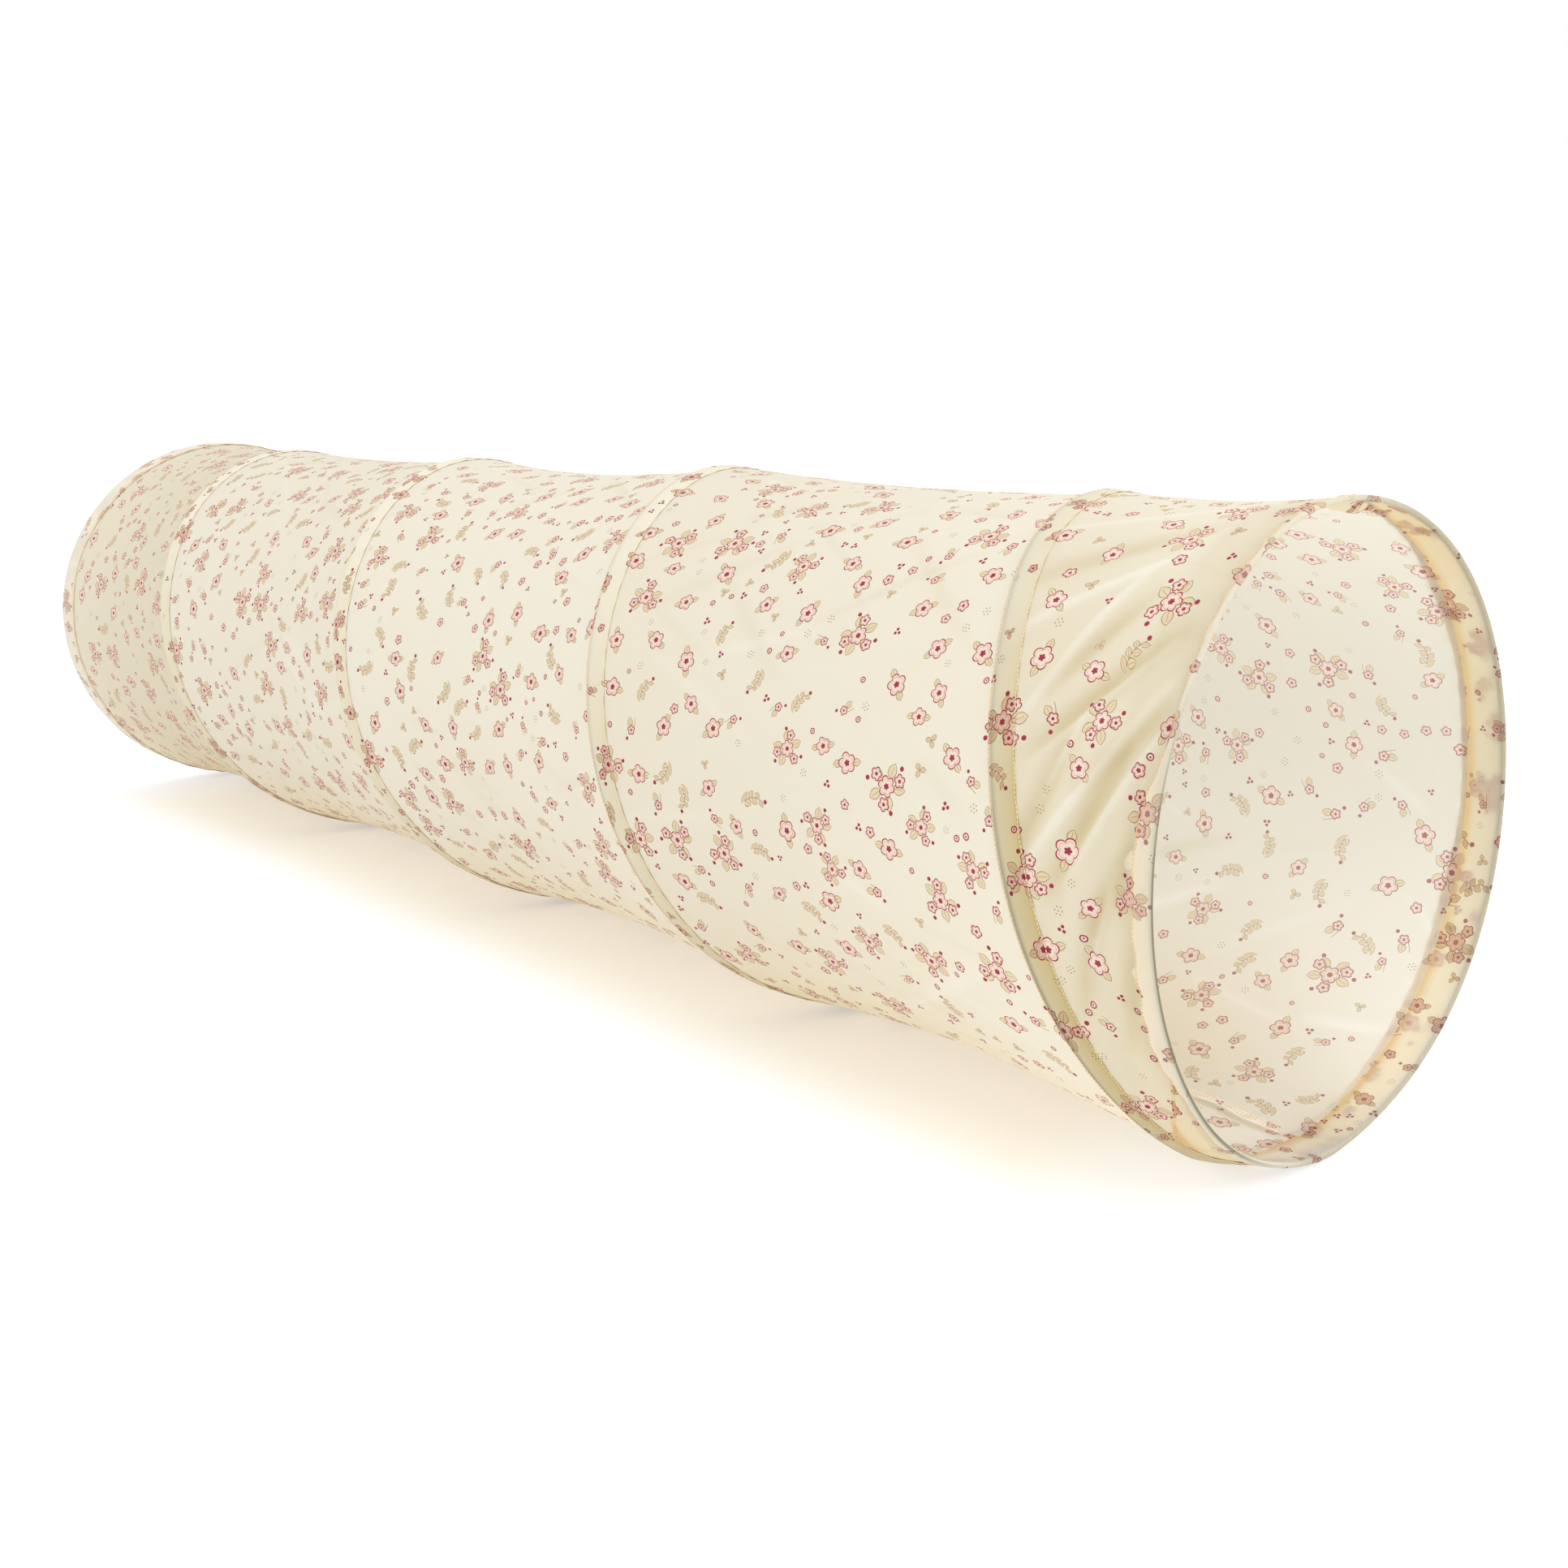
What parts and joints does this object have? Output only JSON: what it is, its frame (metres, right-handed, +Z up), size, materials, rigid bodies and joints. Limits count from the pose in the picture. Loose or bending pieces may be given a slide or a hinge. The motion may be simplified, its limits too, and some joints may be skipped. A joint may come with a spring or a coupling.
{
  "type": "play tunnel",
  "caption": "Pop-up crawl tunnel for children: a tube of thin printed cloth held open by a coiled spring wire, which closes lengthwise into a flat round pack.",
  "frame": {"origin": "on the floor, below the middle of the tube", "axes": "+X along the tube towards its near mouth, +Z up"},
  "size_m": [1.8, 0.479, 0.479],
  "materials": {
    "panel_cloth": "thin plain-weave cloth, cream, printed with small pink and tan flower sprigs",
    "casing_cloth": "the same printed cloth folded double, which looks deeper in colour",
    "seam_cloth": "overlocked seam allowance, cream cloth with ochre thread",
    "spring_wire": "drawn spring steel wire, dull",
    "ferrule": "crimped steel sleeve"
  },
  "bodies": {
    "rear_end": {"rear_hoop": "spring_wire", "rear_ferrule": "ferrule", "rear_hem": "casing_cloth", "spring_coil": "spring_wire", "coil_casing_1": "casing_cloth", "coil_casing_2": "casing_cloth", "coil_casing_3": "casing_cloth", "coil_casing_4": "casing_cloth", "front_wedge_panel": "panel_cloth", "slanted_panel_1": "panel_cloth", "slanted_panel_2": "panel_cloth", "slanted_panel_3": "panel_cloth", "rear_wedge_panel": "panel_cloth", "bottom_seam": "seam_cloth"},
    "front_end": {"front_hoop": "spring_wire", "front_ferrule": "ferrule", "front_hem": "casing_cloth"}
  },
  "joints": [
    {"name": "collapse", "type": "slide", "parent": "rear_end", "child": "front_end", "axis": [-1, 0, 0], "range_m": [0, 1.704], "stiffness_N_per_m": 1.8, "springref_m": -0.4, "deforming": ["spring_coil", "coil_casing_1", "coil_casing_2", "coil_casing_3", "coil_casing_4", "front_wedge_panel", "slanted_panel_1", "slanted_panel_2", "slanted_panel_3", "rear_wedge_panel", "bottom_seam"]}
  ]
}
